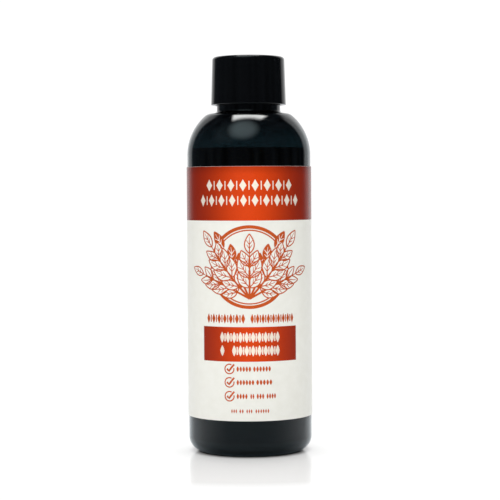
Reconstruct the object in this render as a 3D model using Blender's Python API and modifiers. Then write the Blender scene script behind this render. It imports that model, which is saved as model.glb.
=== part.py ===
"""A round-shouldered aftershave bottle with a smooth screw cap, made as its separate pieces.

Everything is in metres with +Z up. The origin is the centre of the flat ring that the bottle
stands on, and the front of the label faces -Y. The neck carries a 20-410 thread: 20 mm across,
one and a half turns. The cap and its liner sit on the bottle's own axis and rise as they turn.
"""

import math

import bmesh
import bpy

MM = 0.001

# Driving dimensions of the bottle
BODY_RADIUS = 18.9 * MM
HEEL_RADIUS = 4.6 * MM
FOOT_INNER_RADIUS = 12.2 * MM
PUSH_UP = 2.2 * MM
SHOULDER_START = 90.8 * MM
SHOULDER_RADIUS = 16.0 * MM
SHOULDER_SWEEP = 48
CROWN_RADIUS = 3.4 * MM
WALL = 0.5 * MM
GATE_RADIUS = 1.6 * MM
GATE_TIP_RADIUS = 1.3 * MM
GATE_DROP = 0.5 * MM

# Driving dimensions of the neck and its thread
COLLAR_RADIUS = 9.75 * MM
COLLAR_TOP = 107.0 * MM
COLLAR_ROUND = 0.25 * MM
COLLAR_RAMP = 0.6 * MM
NECK_RADIUS = 8.7 * MM
BORE_RADIUS = 6.8 * MM
FINISH_TOP = 117.65 * MM
ROOT_FILLET = 1.0 * MM
BORE_FLARE = 1.5 * MM
LIP_ROUND = 0.3 * MM
PITCH = 3.175 * MM
THREAD_TURNS = 1.5
THREAD_START = 110.6 * MM
THREAD_CREST_WIDTH = 0.7 * MM
THREAD_ROOT_WIDTH = 1.6 * MM
THREAD_ROOTING = 0.35 * MM
THREAD_FADE = 36

# Driving dimensions of the closure
CAP_BOTTOM = 106.1 * MM
CAP_TOP = 120.8 * MM
CAP_BOTTOM_RADIUS = 11.48 * MM
CAP_TOP_RADIUS = 11.06 * MM
CAP_BORE_RADIUS = 10.05 * MM
CAP_TOP_ROUND = 1.0 * MM
CAP_RIM_ROUND = 0.25 * MM
CAP_LEAD_IN = 0.4 * MM
THREAD_CLEARANCE = 0.3 * MM
STACK_GAP = 0.15 * MM
REDUCER_FLANGE = 0.7 * MM
LINER_THICKNESS = 0.8 * MM
LINER_RADIUS = 9.75 * MM
LINER_BEAD = 0.5 * MM
LINER_BEAD_HALF_HEIGHT = 0.3 * MM

# Driving dimensions of the orifice reducer
FLANGE_RADIUS = 8.5 * MM
PLUG_RADIUS = 6.45 * MM
PLUG_BEAD = 0.2 * MM
PLUG_BEAD_DEPTHS = (2.8 * MM, 5.6 * MM)
PLUG_DEPTH = 8.0 * MM
PLUG_WALL = 0.85 * MM
ORIFICE_RADIUS = 1.5 * MM
PLATE_RECESS = 1.3 * MM
PLATE_THICKNESS = 0.8 * MM

# Driving dimensions of the label and the fill
LABEL_BOTTOM = 11.2 * MM
LABEL_HEIGHT = 76.0 * MM
LABEL_GAP = 0.08 * MM
LABEL_THICKNESS = 0.15 * MM
FILL_LEVEL = 92.8 * MM
LIQUID_GAP = 0.1 * MM

# Facets: one turn is 60 steps, and the label covers 57 of them
TURN_STEPS = 60
LABEL_STEPS = 57
STEP_ANGLE = 360 / TURN_STEPS
FACET_TURN = STEP_ANGLE / 2
REDUCER_STEPS = 36
SMALL_ARC_STEPS = 2
EDGE_ARC_STEPS = 4
CROWN_STEPS = 3
SIDE_STEPS = 6
HEEL_STEPS = 4
FLOOR_STEPS = 4
SHARP_ANGLE = 32

# The stack above the neck, worked out from the pieces below it
FLANGE_BOTTOM = FINISH_TOP + STACK_GAP
FLANGE_TOP = FLANGE_BOTTOM + REDUCER_FLANGE
LINER_BOTTOM = FLANGE_TOP + STACK_GAP
LINER_TOP = LINER_BOTTOM + LINER_THICKNESS
CAP_CEILING = LINER_TOP + STACK_GAP


def empty_scene():
    for thing in list(bpy.data.objects):
        bpy.data.objects.remove(thing)


def new_collection(name):
    collection = bpy.data.collections.new(name)
    bpy.context.scene.collection.children.link(collection)
    return collection


def new_material(name, colour, roughness, metallic=0.0):
    material = bpy.data.materials.new(name)
    material.use_nodes = True
    shader = material.node_tree.nodes["Principled BSDF"]
    shader.inputs["Base Color"].default_value = (*colour, 1.0)
    shader.inputs["Roughness"].default_value = roughness
    shader.inputs["Metallic"].default_value = metallic
    material.diffuse_color = (*colour, 1.0)
    return material


def arc(centre_r, centre_z, radius, start, end, steps):
    """Points (r, z) along a circular arc from one angle to another, in degrees, ends included."""
    points = []
    for i in range(steps + 1):
        angle = math.radians(start + (end - start) * i / steps)
        points.append((centre_r + radius * math.cos(angle), centre_z + radius * math.sin(angle)))
    return points


def floor(foot_z, crown_z, end_r):
    """Points from the foot's inner edge in to end_r, rising to crown_z on the axis."""
    points = []
    for i in range(FLOOR_STEPS + 1):
        r = FOOT_INNER_RADIUS + (end_r - FOOT_INNER_RADIUS) * i / FLOOR_STEPS
        rise = 0.5 * (1 + math.cos(math.pi * r / FOOT_INNER_RADIUS))
        points.append((r, foot_z + (crown_z - foot_z) * rise))
    return points


def shoulder(inset):
    """Points down the shoulder from its flat crown to the straight side, `inset` inside the skin."""
    big_r = BODY_RADIUS - SHOULDER_RADIUS
    blend = math.radians(SHOULDER_SWEEP)
    reach = SHOULDER_RADIUS - CROWN_RADIUS
    small_r = big_r + reach * math.cos(blend)
    small_z = SHOULDER_START + reach * math.sin(blend)
    crown = arc(small_r, small_z, CROWN_RADIUS - inset, 90, SHOULDER_SWEEP, CROWN_STEPS)
    side = arc(big_r, SHOULDER_START, SHOULDER_RADIUS - inset, SHOULDER_SWEEP, 0, SIDE_STEPS)
    return crown + side[1:]


def heel(inset):
    """Points round the heel from the straight side down to the foot, `inset` inside the skin."""
    return arc(BODY_RADIUS - HEEL_RADIUS, HEEL_RADIUS, HEEL_RADIUS - inset, 0, -90, HEEL_STEPS)


def shoulder_crown_height():
    return shoulder(0)[0][1]


def hollow_outline(inset):
    """The hollow below the neck, from the shoulder's crown down to the centre of the floor.

    The floor lies two insets above the base at its centre, where the plastic is thickest.
    """
    return shoulder(inset) + heel(inset) + floor(inset, PUSH_UP + 2 * inset, 0)


def outside_outline():
    """The bottle's skin from the lip down to the gate mark under the base."""
    root_z = shoulder_crown_height() + ROOT_FILLET
    lip = arc(NECK_RADIUS - LIP_ROUND, FINISH_TOP - LIP_ROUND, LIP_ROUND, 90, 0, SMALL_ARC_STEPS)
    collar = [
        (NECK_RADIUS, COLLAR_TOP + COLLAR_RAMP),
        (COLLAR_RADIUS - COLLAR_ROUND, COLLAR_TOP),
        (COLLAR_RADIUS, COLLAR_TOP - COLLAR_ROUND),
    ]
    root = arc(COLLAR_RADIUS + ROOT_FILLET, root_z, ROOT_FILLET, 180, 270, SMALL_ARC_STEPS)
    base = floor(0, PUSH_UP, GATE_RADIUS)
    gate_bottom = base[-1][1] - GATE_DROP
    gate = [(GATE_TIP_RADIUS, gate_bottom), (0, gate_bottom)]
    return lip + collar + root + shoulder(0) + heel(0) + base + gate


def inside_outline():
    """The bottle's inner skin from the centre of the floor up to the lip of the bore."""
    flare_z = shoulder_crown_height() - WALL + BORE_FLARE
    body = list(reversed(hollow_outline(WALL)))
    flare = arc(BORE_RADIUS + BORE_FLARE, flare_z, BORE_FLARE, 270, 180, SMALL_ARC_STEPS)
    bore_edge = [
        (BORE_RADIUS, FINISH_TOP - LIP_ROUND),
        (BORE_RADIUS + LIP_ROUND, FINISH_TOP),
    ]
    return body + flare + bore_edge


def turned(name, outline, base_z=0.0, steps=TURN_STEPS, closed=False):
    """A turned solid from an outline of (r, z) points, with its origin on the axis at base_z."""
    points = [(r, 0, z - base_z) for r, z in outline]
    edges = [(i, i + 1) for i in range(len(points) - 1)]
    if closed:
        edges.append((len(points) - 1, 0))
    mesh = bpy.data.meshes.new(name)
    mesh.from_pydata(points, edges, [])
    piece = bpy.data.objects.new(name, mesh)
    piece.location.z = base_z
    piece.rotation_euler.z = math.radians(FACET_TURN)
    screw = piece.modifiers.new("Turn", "SCREW")
    screw.steps = steps
    screw.render_steps = steps
    screw.use_merge_vertices = True
    screw.merge_threshold = 0.001 * MM
    return piece


def thread_ridge(name, wall_radius, crest_radius, start_z, base_z=0.0):
    """A right-hand thread ridge, rooted in the wall and fading into it at both ends.

    The section tapers along its length, which a Screw modifier can't do, so it is a loft.
    """
    count = round(THREAD_TURNS * TURN_STEPS)
    fade = THREAD_FADE / STEP_ANGLE
    inward = 1 if crest_radius < wall_radius else -1
    root_radius = wall_radius + inward * THREAD_ROOTING
    buried_radius = wall_radius + inward * THREAD_ROOTING / 2
    half_crest = THREAD_CREST_WIDTH / 2
    half_root = THREAD_ROOT_WIDTH / 2
    shape = bmesh.new()
    rings = []
    for i in range(count + 1):
        angle = math.radians(STEP_ANGLE * i)
        z = start_z - base_z + PITCH * i / TURN_STEPS
        strength = min(1, i / fade, (count - i) / fade)
        crest = buried_radius + (crest_radius - buried_radius) * strength
        section = [
            (root_radius, z - half_root),
            (crest, z - half_crest),
            (crest, z + half_crest),
            (root_radius, z + half_root),
        ]
        ring = []
        for r, height in section:
            ring.append(shape.verts.new((r * math.cos(angle), r * math.sin(angle), height)))
        rings.append(ring)
    for near, far in zip(rings, rings[1:]):
        for i in range(len(near)):
            j = (i + 1) % len(near)
            shape.faces.new((near[i], near[j], far[j], far[i]))
    shape.faces.new(reversed(rings[0]))
    shape.faces.new(rings[-1])
    bmesh.ops.triangulate(shape, faces=shape.faces)
    bmesh.ops.recalc_face_normals(shape, faces=shape.faces)
    mesh = bpy.data.meshes.new(name)
    shape.to_mesh(mesh)
    shape.free()
    ridge = bpy.data.objects.new(name, mesh)
    ridge.location.z = base_z
    ridge.hide_render = True
    ridge.display_type = "WIRE"
    TOOLS.objects.link(ridge)
    return ridge


def joined_to(piece, ridge):
    union = piece.modifiers.new("Thread", "BOOLEAN")
    union.operation = "UNION"
    union.solver = "EXACT"
    union.object = ridge


def finished(piece, material):
    """Put the piece in the parts collection, fix its modifiers' result and shade it smooth."""
    PARTS.objects.link(piece)
    bpy.context.view_layer.update()
    evaluated = piece.evaluated_get(bpy.context.evaluated_depsgraph_get())
    mesh = bpy.data.meshes.new_from_object(evaluated)
    mesh.name = piece.name
    piece.modifiers.clear()
    piece.data = mesh
    mesh.materials.clear()
    mesh.materials.append(material)
    mesh.shade_smooth()
    mesh.set_sharp_from_angle(angle=math.radians(SHARP_ANGLE))
    return piece


def make_bottle():
    """The blow-moulded bottle: open neck, thread, collar, domed shoulder and pushed-up base."""
    piece = turned("bottle", inside_outline() + outside_outline())
    crest = CAP_BORE_RADIUS - THREAD_CLEARANCE
    joined_to(piece, thread_ridge("neck_thread_ridge", NECK_RADIUS, crest, THREAD_START))
    return finished(piece, new_material("bottle_plastic", (0.006, 0.010, 0.013), 0.1))


def make_cap():
    """The smooth cap: tapered skirt, rounded top edge, thread and a bead that holds the liner."""
    edge_r = CAP_TOP_RADIUS - CAP_TOP_ROUND
    edge = arc(edge_r, CAP_TOP - CAP_TOP_ROUND, CAP_TOP_ROUND, 90, 0, EDGE_ARC_STEPS)
    rim_r = CAP_BOTTOM_RADIUS - CAP_RIM_ROUND
    rim = arc(rim_r, CAP_BOTTOM + CAP_RIM_ROUND, CAP_RIM_ROUND, 0, -90, SMALL_ARC_STEPS)
    bead_z = LINER_BOTTOM - STACK_GAP - LINER_BEAD_HALF_HEIGHT
    inside = [
        (CAP_BORE_RADIUS + CAP_LEAD_IN, CAP_BOTTOM),
        (CAP_BORE_RADIUS, CAP_BOTTOM + CAP_LEAD_IN),
        (CAP_BORE_RADIUS, bead_z - LINER_BEAD_HALF_HEIGHT),
        (CAP_BORE_RADIUS - LINER_BEAD, bead_z),
        (CAP_BORE_RADIUS, bead_z + LINER_BEAD_HALF_HEIGHT),
        (CAP_BORE_RADIUS, CAP_CEILING),
        (0, CAP_CEILING),
    ]
    piece = turned("screw_cap", [(0, CAP_TOP)] + edge + rim + inside, CAP_BOTTOM)
    crest = NECK_RADIUS + THREAD_CLEARANCE
    start = THREAD_START - PITCH / 2
    joined_to(piece, thread_ridge("cap_thread_ridge", CAP_BORE_RADIUS, crest, start, CAP_BOTTOM))
    return finished(piece, new_material("cap_plastic", (0.004, 0.0045, 0.005), 0.3))


def make_liner():
    """The foam disc that seals the cap against the neck."""
    outline = [
        (0, LINER_TOP),
        (LINER_RADIUS, LINER_TOP),
        (LINER_RADIUS, LINER_BOTTOM),
        (0, LINER_BOTTOM),
    ]
    piece = turned("cap_liner", outline, LINER_BOTTOM)
    return finished(piece, new_material("liner_foam", (0.86, 0.86, 0.83), 0.8))


def make_reducer():
    """The plug in the neck: a flange on the lip, two sealing beads and a small pouring hole."""
    plug_bottom = FLANGE_BOTTOM - PLUG_DEPTH
    inner = PLUG_RADIUS - PLUG_WALL
    plate_top = FLANGE_TOP - PLATE_RECESS
    plate_bottom = plate_top - PLATE_THICKNESS
    bevel = PLUG_BEAD
    outline = [
        (FLANGE_RADIUS - bevel, FLANGE_TOP),
        (FLANGE_RADIUS, FLANGE_TOP - bevel),
        (FLANGE_RADIUS, FLANGE_BOTTOM),
        (PLUG_RADIUS, FLANGE_BOTTOM),
    ]
    for depth in PLUG_BEAD_DEPTHS:
        bead_z = FLANGE_BOTTOM - depth
        outline.append((PLUG_RADIUS, bead_z + 2 * bevel))
        outline.append((PLUG_RADIUS + PLUG_BEAD, bead_z))
        outline.append((PLUG_RADIUS, bead_z - 2 * bevel))
    outline += [
        (PLUG_RADIUS, plug_bottom + 2 * bevel),
        (PLUG_RADIUS - bevel, plug_bottom),
        (inner, plug_bottom),
        (inner, plate_bottom),
        (ORIFICE_RADIUS, plate_bottom),
        (ORIFICE_RADIUS, plate_top),
        (inner - bevel, plate_top),
        (inner, FLANGE_TOP),
    ]
    piece = turned("orifice_reducer", outline, FLANGE_BOTTOM, REDUCER_STEPS, closed=True)
    return finished(piece, new_material("reducer_plastic", (0.80, 0.82, 0.82), 0.45))


def make_label():
    """The wrap-round label: one thin sheet that stops short of closing at the back."""
    radius = BODY_RADIUS + LABEL_GAP
    outline = [(radius, LABEL_BOTTOM + LABEL_HEIGHT), (radius, LABEL_BOTTOM)]
    piece = turned("wrap_label", outline, steps=LABEL_STEPS)
    opening = 360 - LABEL_STEPS * STEP_ANGLE
    piece.rotation_euler.z = math.radians(90 + opening / 2)
    turn = piece.modifiers["Turn"]
    turn.angle = math.radians(LABEL_STEPS * STEP_ANGLE)
    turn.use_merge_vertices = False
    sheet = piece.modifiers.new("Sheet", "SOLIDIFY")
    sheet.thickness = LABEL_THICKNESS
    sheet.offset = 1
    sheet.use_even_offset = True
    return finished(piece, new_material("label_stock", (0.82, 0.79, 0.73), 0.4))


def make_liquid():
    """The aftershave inside, filled to just above the start of the shoulder."""
    skin = [(r, z) for r, z in hollow_outline(WALL + LIQUID_GAP) if z < FILL_LEVEL]
    shoulder_r = BODY_RADIUS - SHOULDER_RADIUS
    inner_radius = SHOULDER_RADIUS - WALL - LIQUID_GAP
    surface_r = shoulder_r + math.sqrt(inner_radius**2 - (FILL_LEVEL - SHOULDER_START) ** 2)
    piece = turned("aftershave_liquid", [(0, FILL_LEVEL), (surface_r, FILL_LEVEL)] + skin)
    return finished(piece, new_material("liquid", (0.62, 0.60, 0.30), 0.03))


def put_on_cap_axis(pieces):
    """Hang the closure on an empty at the cap's rim, on the axis that it turns and rises on."""
    axis = bpy.data.objects.new("cap_axis", None)
    axis.location.z = CAP_BOTTOM
    axis.empty_display_size = CAP_BOTTOM_RADIUS
    PARTS.objects.link(axis)
    for piece in pieces:
        piece.parent = axis
        piece.location.z -= CAP_BOTTOM


empty_scene()
PARTS = new_collection("aftershave_bottle")
TOOLS = new_collection("thread_shapes")
make_bottle()
make_label()
make_liquid()
make_reducer()
put_on_cap_axis([make_cap(), make_liner()])
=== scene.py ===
import math

import bmesh
import bpy
from mathutils import Matrix, Vector


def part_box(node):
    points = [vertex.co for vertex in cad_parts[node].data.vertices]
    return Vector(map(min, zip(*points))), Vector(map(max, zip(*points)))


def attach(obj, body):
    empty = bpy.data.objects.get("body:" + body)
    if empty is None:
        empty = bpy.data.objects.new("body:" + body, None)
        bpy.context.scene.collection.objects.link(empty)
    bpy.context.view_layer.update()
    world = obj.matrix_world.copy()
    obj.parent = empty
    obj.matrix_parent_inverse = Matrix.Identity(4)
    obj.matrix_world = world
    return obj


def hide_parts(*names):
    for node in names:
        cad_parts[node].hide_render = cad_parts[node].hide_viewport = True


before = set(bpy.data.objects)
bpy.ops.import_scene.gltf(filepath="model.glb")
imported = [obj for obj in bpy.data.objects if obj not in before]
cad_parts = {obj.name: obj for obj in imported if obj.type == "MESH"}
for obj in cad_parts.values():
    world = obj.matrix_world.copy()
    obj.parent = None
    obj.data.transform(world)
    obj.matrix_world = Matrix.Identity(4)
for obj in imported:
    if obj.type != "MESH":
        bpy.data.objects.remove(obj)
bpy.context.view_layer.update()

MM = 0.001


def reach(node):
    """The greatest distance of a CAD node's points from the bottle's axis."""
    return max(math.hypot(v.co.x, v.co.y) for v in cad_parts[node].data.vertices)


# Sizes read from the frame
BODY_RADIUS = reach("bottle")
FINISH_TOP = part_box("bottle")[1].z
CAP_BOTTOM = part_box("screw_cap")[0].z
CAP_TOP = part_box("screw_cap")[1].z
CAP_RIM_RADIUS = reach("screw_cap")
LINER_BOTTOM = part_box("cap_liner")[0].z
LINER_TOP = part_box("cap_liner")[1].z
LINER_RADIUS = reach("cap_liner")
FLANGE_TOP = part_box("orifice_reducer")[1].z
PLUG_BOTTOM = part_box("orifice_reducer")[0].z
FLANGE_RADIUS = reach("orifice_reducer")
LABEL_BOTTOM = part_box("wrap_label")[0].z
LABEL_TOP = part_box("wrap_label")[1].z
LABEL_RADIUS = reach("wrap_label")

# The bottle's shape, as in the CAD model
HEEL_RADIUS = 4.6 * MM
FOOT_INNER_RADIUS = 12.2 * MM
PUSH_UP = 2.2 * MM
SHOULDER_START = 90.8 * MM
SHOULDER_RADIUS = 16.0 * MM
SHOULDER_SWEEP = 48
CROWN_RADIUS = 3.4 * MM
WALL = 0.5 * MM
GATE_RADIUS = 1.6 * MM
GATE_TIP_RADIUS = 1.3 * MM
GATE_DROP = 0.5 * MM
COLLAR_RADIUS = 9.75 * MM
COLLAR_TOP = 107.0 * MM
COLLAR_ROUND = 0.25 * MM
COLLAR_RAMP = 0.6 * MM
NECK_RADIUS = 8.7 * MM
BORE_RADIUS = 6.8 * MM
ROOT_FILLET = 1.0 * MM
BORE_FLARE = 1.5 * MM
LIP_ROUND = 0.3 * MM

# The thread, as in the CAD model
PITCH = 3.175 * MM
THREAD_TURNS = 1.5
THREAD_START = 110.6 * MM
THREAD_HALF_CREST = 0.35 * MM
THREAD_HALF_ROOT = 0.8 * MM
THREAD_ROOTING = 0.35 * MM
THREAD_FADE = 36
THREAD_CLEARANCE = 0.3 * MM
# The crest's rounding: its flat and its shoulder, as shares of the half crest, and how far the
# shoulder falls from the crest towards the root
CREST_FLAT = 0.6
CREST_SHOULDER = 1.25
CREST_FALL = 0.12

# The closure's shape, as in the CAD model
CAP_TOP_RADIUS = 11.06 * MM
CAP_BORE_RADIUS = 10.05 * MM
CAP_TOP_ROUND = 1.0 * MM
CAP_RIM_ROUND = 0.25 * MM
CAP_LEAD_IN = 0.4 * MM
LINER_GAP = 0.15 * MM
LINER_EDGE = 0.12 * MM
LINER_BEAD = 0.5 * MM
LINER_BEAD_HALF_HEIGHT = 0.3 * MM
PLUG_RADIUS = 6.45 * MM
PLUG_BEAD = 0.2 * MM
PLUG_BEAD_DEPTHS = (2.8 * MM, 5.6 * MM)
PLUG_WALL = 0.85 * MM
FLANGE_THICKNESS = 0.7 * MM
ORIFICE_RADIUS = 1.5 * MM
PLATE_RECESS = 1.3 * MM
PLATE_THICKNESS = 0.8 * MM

# How finely round shapes are made
TURN_STEPS = 180
ARC_STEP = 3.0
SHARP_ANGLE = 32

# The label sheet and the thickness of its printed layers
LABEL_HALF_SWEEP = 171
LABEL_THICKNESS = 0.15 * MM
INK = 0.006 * MM
INK_SINK = 0.004 * MM
PRINT_STEP = 0.3 * MM
WELD = 0.0001 * MM
LOZENGE_STEPS = 8


# ---------------------------------------------------------------- shapes


def arc(centre_r, centre_z, radius, start, end):
    """Points (r, z) along a circular arc from one angle to another, in degrees."""
    steps = max(2, math.ceil(abs(end - start) / ARC_STEP))
    points = []
    for i in range(steps + 1):
        angle = math.radians(start + (end - start) * i / steps)
        points.append((centre_r + radius * math.cos(angle), centre_z + radius * math.sin(angle)))
    return points


def floor_arch(foot_z, crown_z, end_r, steps=24):
    """Points from the foot's inner edge in to end_r, rising to crown_z on the axis."""
    points = []
    for i in range(steps + 1):
        r = FOOT_INNER_RADIUS + (end_r - FOOT_INNER_RADIUS) * i / steps
        rise = 0.5 * (1 + math.cos(math.pi * r / FOOT_INNER_RADIUS))
        points.append((r, foot_z + (crown_z - foot_z) * rise))
    return points


def shoulder(inset):
    """Points down the shoulder from its flat crown to the straight side, inset from the skin."""
    big_r = BODY_RADIUS - SHOULDER_RADIUS
    blend = math.radians(SHOULDER_SWEEP)
    small_reach = SHOULDER_RADIUS - CROWN_RADIUS
    small_r = big_r + small_reach * math.cos(blend)
    small_z = SHOULDER_START + small_reach * math.sin(blend)
    crown = arc(small_r, small_z, CROWN_RADIUS - inset, 90, SHOULDER_SWEEP)
    side = arc(big_r, SHOULDER_START, SHOULDER_RADIUS - inset, SHOULDER_SWEEP, 0)
    return crown + side[1:]


def heel(inset):
    """Points round the heel from the straight side down to the foot, inset from the skin."""
    return arc(BODY_RADIUS - HEEL_RADIUS, HEEL_RADIUS, HEEL_RADIUS - inset, 0, -90)


def bottle_outline():
    """The bottle's skin: up the inside from the floor to the lip, then down the outside."""
    crown_z = shoulder(0)[0][1]
    hollow = shoulder(WALL) + heel(WALL) + floor_arch(WALL, PUSH_UP + 2 * WALL, 0)
    flare = arc(BORE_RADIUS + BORE_FLARE, crown_z - WALL + BORE_FLARE, BORE_FLARE, 270, 180)
    bore_lip = arc(BORE_RADIUS + LIP_ROUND, FINISH_TOP - LIP_ROUND, LIP_ROUND, 180, 90)
    lip = arc(NECK_RADIUS - LIP_ROUND, FINISH_TOP - LIP_ROUND, LIP_ROUND, 90, 0)
    collar_r = COLLAR_RADIUS - COLLAR_ROUND
    collar = [(NECK_RADIUS, COLLAR_TOP + COLLAR_RAMP)]
    collar += arc(collar_r, COLLAR_TOP - COLLAR_ROUND, COLLAR_ROUND, 90, 0)
    root = arc(COLLAR_RADIUS + ROOT_FILLET, crown_z + ROOT_FILLET, ROOT_FILLET, 180, 270)
    base = floor_arch(0, PUSH_UP, GATE_RADIUS)
    gate_bottom = base[-1][1] - GATE_DROP
    gate = [(GATE_TIP_RADIUS, gate_bottom), (0, gate_bottom)]
    inside = list(reversed(hollow)) + flare + bore_lip
    return inside + lip + collar + root + shoulder(0) + heel(0) + base + gate


def cap_outline():
    """The cap's skin: across the top, down the tapered side, and up the inside to its ceiling."""
    edge = arc(CAP_TOP_RADIUS - CAP_TOP_ROUND, CAP_TOP - CAP_TOP_ROUND, CAP_TOP_ROUND, 90, 0)
    rim = arc(CAP_RIM_RADIUS - CAP_RIM_ROUND, CAP_BOTTOM + CAP_RIM_ROUND, CAP_RIM_ROUND, 0, -90)
    bead_z = LINER_BOTTOM - LINER_GAP - LINER_BEAD_HALF_HEIGHT
    inside = [
        (CAP_BORE_RADIUS + CAP_LEAD_IN, CAP_BOTTOM),
        (CAP_BORE_RADIUS, CAP_BOTTOM + CAP_LEAD_IN),
        (CAP_BORE_RADIUS, bead_z - LINER_BEAD_HALF_HEIGHT),
        (CAP_BORE_RADIUS - LINER_BEAD, bead_z),
        (CAP_BORE_RADIUS, bead_z + LINER_BEAD_HALF_HEIGHT),
        (CAP_BORE_RADIUS, LINER_TOP + LINER_GAP),
        (0, LINER_TOP + LINER_GAP),
    ]
    return [(0, CAP_TOP)] + edge + rim + inside


def plug_outline():
    """The orifice reducer's closed section, from the flange's top edge down and back up inside."""
    flange_bottom = FLANGE_TOP - FLANGE_THICKNESS
    inner = PLUG_RADIUS - PLUG_WALL
    plate_top = FLANGE_TOP - PLATE_RECESS
    outline = arc(FLANGE_RADIUS - PLUG_BEAD, FLANGE_TOP - PLUG_BEAD, PLUG_BEAD, 90, 0)
    outline += [(FLANGE_RADIUS, flange_bottom), (PLUG_RADIUS, flange_bottom)]
    for depth in PLUG_BEAD_DEPTHS:
        outline += arc(PLUG_RADIUS, flange_bottom - depth, PLUG_BEAD, 90, -90)
    outline += [
        (PLUG_RADIUS, PLUG_BOTTOM + 2 * PLUG_BEAD),
        (PLUG_RADIUS - PLUG_BEAD, PLUG_BOTTOM),
        (inner, PLUG_BOTTOM),
        (inner, plate_top - PLATE_THICKNESS),
        (ORIFICE_RADIUS, plate_top - PLATE_THICKNESS),
        (ORIFICE_RADIUS, plate_top),
        (inner - PLUG_BEAD, plate_top),
        (inner, FLANGE_TOP),
    ]
    return outline


def new_piece(name, shape):
    """A scene object made from a bmesh, which is freed, with smooth round faces and crisp edges."""
    mesh = bpy.data.meshes.new(name)
    shape.to_mesh(mesh)
    shape.free()
    mesh.shade_smooth()
    mesh.set_sharp_from_angle(angle=math.radians(SHARP_ANGLE))
    piece = bpy.data.objects.new(name, mesh)
    bpy.context.scene.collection.objects.link(piece)
    return piece


def lathe(name, outline, closed=False):
    """A turned piece from (r, z) points; a point on the axis becomes a single vertex."""
    shape = bmesh.new()
    rings = []
    for r, z in outline:
        count = TURN_STEPS if r > 0 else 1
        ring = []
        for k in range(count):
            angle = 2 * math.pi * k / count
            ring.append(shape.verts.new((r * math.cos(angle), r * math.sin(angle), z)))
        rings.append(ring)
    pairs = list(zip(rings, rings[1:]))
    if closed:
        pairs.append((rings[-1], rings[0]))
    for upper, lower in pairs:
        for k in range(TURN_STEPS):
            j = (k + 1) % TURN_STEPS
            corners = [upper[k % len(upper)], lower[k % len(lower)]]
            if len(lower) > 1:
                corners.append(lower[j])
            if len(upper) > 1:
                corners.append(upper[j])
            shape.faces.new(corners)
    return new_piece(name, shape)


def ridge_section(root, crest, z):
    """Points (r, z) round a thread's section, from the root's lower edge over the crest."""
    shy = crest + (root - crest) * CREST_FALL
    flat = THREAD_HALF_CREST * CREST_FLAT
    rounded = THREAD_HALF_CREST * CREST_SHOULDER
    return [
        (root, z - THREAD_HALF_ROOT),
        (shy, z - rounded),
        (crest, z - flat),
        (crest, z + flat),
        (shy, z + rounded),
        (root, z + THREAD_HALF_ROOT),
    ]


def thread_ridge(name, wall_radius, crest_radius, start_z):
    """A right-hand thread ridge with a rounded crest, fading into its wall at both ends."""
    steps_per_turn = TURN_STEPS // 2
    count = round(THREAD_TURNS * steps_per_turn)
    fade = THREAD_FADE * steps_per_turn / 360
    inward = 1 if crest_radius < wall_radius else -1
    root = wall_radius + inward * THREAD_ROOTING
    buried = wall_radius + inward * THREAD_ROOTING / 2
    shape = bmesh.new()
    rings = []
    for i in range(count + 1):
        angle = math.radians(360 * (i + 0.5) / steps_per_turn)
        z = start_z + PITCH * (i + 0.5) / steps_per_turn
        strength = min(1, i / fade, (count - i) / fade)
        crest = buried + (crest_radius - buried) * math.sin(strength * math.pi / 2)
        ring = []
        for r, height in ridge_section(root, crest, z):
            ring.append(shape.verts.new((r * math.cos(angle), r * math.sin(angle), height)))
        rings.append(ring)
    for near, far in zip(rings, rings[1:]):
        for i in range(len(near)):
            j = (i + 1) % len(near)
            shape.faces.new((near[i], near[j], far[j], far[i]))
    shape.faces.new(reversed(rings[0]))
    shape.faces.new(rings[-1])
    bmesh.ops.triangulate(shape, faces=shape.faces)
    bmesh.ops.recalc_face_normals(shape, faces=shape.faces)
    return new_piece(name, shape)


def apply_modifiers(piece):
    """Fix the result of a piece's modifiers as its mesh and shade it again."""
    bpy.context.view_layer.update()
    evaluated = piece.evaluated_get(bpy.context.evaluated_depsgraph_get())
    mesh = bpy.data.meshes.new_from_object(evaluated)
    mesh.name = piece.name
    piece.modifiers.clear()
    piece.data = mesh
    mesh.shade_smooth()
    mesh.set_sharp_from_angle(angle=math.radians(SHARP_ANGLE))


def join_ridge(piece, ridge):
    """Union a thread ridge into the piece that carries it."""
    union = piece.modifiers.new("Thread", "BOOLEAN")
    union.operation = "UNION"
    union.solver = "EXACT"
    union.object = ridge
    apply_modifiers(piece)
    bpy.data.objects.remove(ridge)


# ---------------------------------------------------------------- printed shapes
# A printed shape is a list of patches. A patch is a grid of points (across, up) in metres on the
# flat label: across is measured from the middle of the front, up from the label's bottom edge.

# Share of the pitch that a lozenge takes, width of the strokes between, and shape of its sides
ORNAMENT_STYLES = {
    "fine": (0.72, 0, 0.9),
    "dense": (0.84, 0, 0.6),
    "stroked": (0.60, 0.32 * MM, 1.1),
    "strong": (0.62, 0.38 * MM, 0.85),
    "bold": (0.68, 0.44 * MM, 0.65),
}
STROKE_INSET = 0.14
BAR_END_STEPS = 8
CIRCLE_LEAST_STEPS = 24

# A leaf: its outline's two exponents, its lines, and the start and fall of its midrib's width
LEAF_COLUMNS = 8
LEAF_LEAST_STEPS = 12
LEAF_BELLY = 0.85
LEAF_FULLNESS = 0.9
LEAF_LINE = 0.34 * MM
SOLID_LEAF_RIB = 0.26 * MM
RIB_END = 0.84
RIB_START_WIDTH = 1.1
RIB_WIDTH_FALL = 0.7
VEINED_LEAF = 5.0 * MM
VEIN_LINE = 0.22 * MM
VEIN_PLACES = (0.25, 0.45)
VEIN_ANGLE = math.radians(36)
VEIN_REACH = 0.72

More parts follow.
